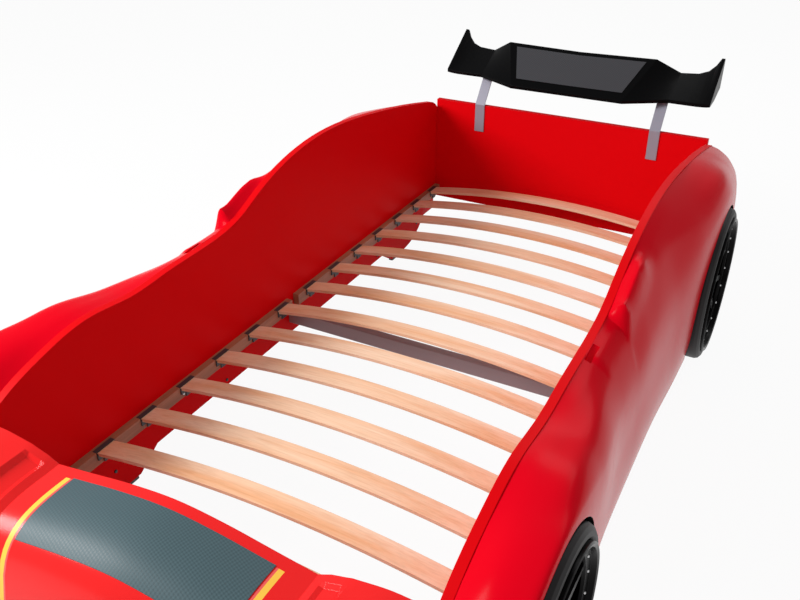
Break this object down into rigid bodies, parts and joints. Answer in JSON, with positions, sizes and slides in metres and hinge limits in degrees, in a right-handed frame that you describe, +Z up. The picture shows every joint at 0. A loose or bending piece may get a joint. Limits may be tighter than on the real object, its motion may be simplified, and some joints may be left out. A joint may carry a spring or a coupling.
{
  "type": "children's car bed",
  "caption": "Child's bed shaped like a racing car, with arched painted sides, moulded shells, slatted base, wheels, bonnet and rear spoiler",
  "frame": {"origin": "middle of the bed's footprint, on the floor", "axes": "+X across the bed to its left hand side seen from the headboard end looking at the bonnet, +Y towards the headboard and spoiler, +Z up"},
  "size_m": [1.222, 2.3429, 0.678],
  "materials": {
    "painted_board": "smooth satin red lacquer on fibreboard",
    "shell_plastic": "high gloss moulded red",
    "bonnet_plastic": "high gloss moulded red",
    "slat_wood": "lacquered beech veneer",
    "rail_wood": "stained, satin lacquer",
    "holder_plastic": "fine grain dark grey",
    "bar_steel": "grey powder coat",
    "bracket_steel": "silver grey powder coat",
    "screw_steel": "zinc plated",
    "dowel_wood": "plain beech",
    "tyre_plastic": "satin black moulded tyre",
    "rim_plastic": "gloss black",
    "block_wood": "plain",
    "spoiler_plastic": "black, semi gloss",
    "panel_film": "dark teal woven look film",
    "bumper_plastic": "high gloss moulded red",
    "grille_plastic": "satin black",
    "lamp_plastic": "clear white moulded lens",
    "glide_plastic": "hard nylon"
  },
  "bodies": {
    "root": {"bonnet": "bonnet_plastic", "bonnet_panel": "panel_film", "corner_screws": "screw_steel", "crossbar": "bar_steel", "crossbar_bolts": "screw_steel", "crossbar_bracket_left": "bar_steel", "crossbar_bracket_right": "bar_steel", "dowels": "dowel_wood", "floor_glides": "glide_plastic", "footboard": "painted_board", "front_bumper": "bumper_plastic", "grille": "grille_plastic", "headboard": "painted_board", "headlamp_left": "lamp_plastic", "headlamp_right": "lamp_plastic", "rail_left_front": "rail_wood", "rail_left_rear": "rail_wood", "rail_right_front": "rail_wood", "rail_right_rear": "rail_wood", "rail_screws": "screw_steel", "rim_front_left": "rim_plastic", "rim_front_right": "rim_plastic", "rim_rear_left": "rim_plastic", "rim_rear_right": "rim_plastic", "shell_screws": "screw_steel", "side_board_left": "painted_board", "side_board_right": "painted_board", "side_shell_left": "shell_plastic", "side_shell_right": "shell_plastic", "slat_01": "slat_wood", "slat_02": "slat_wood", "slat_03": "slat_wood", "slat_04": "slat_wood", "slat_05": "slat_wood", "slat_06": "slat_wood", "slat_07": "slat_wood", "slat_08": "slat_wood", "slat_09": "slat_wood", "slat_10": "slat_wood", "slat_11": "slat_wood", "slat_12": "slat_wood", "slat_13": "slat_wood", "slat_14": "slat_wood", "slat_holders_left_front": "holder_plastic", "slat_holders_left_rear": "holder_plastic", "slat_holders_right_front": "holder_plastic", "slat_holders_right_rear": "holder_plastic", "spoiler": "spoiler_plastic", "spoiler_bolts": "screw_steel", "spoiler_bracket_left": "bracket_steel", "spoiler_bracket_right": "bracket_steel", "tyre_front_left": "tyre_plastic", "tyre_front_right": "tyre_plastic", "tyre_rear_left": "tyre_plastic", "tyre_rear_right": "tyre_plastic", "wheel_blocks": "block_wood", "wheel_bolts": "screw_steel"}
  },
  "joints": []
}
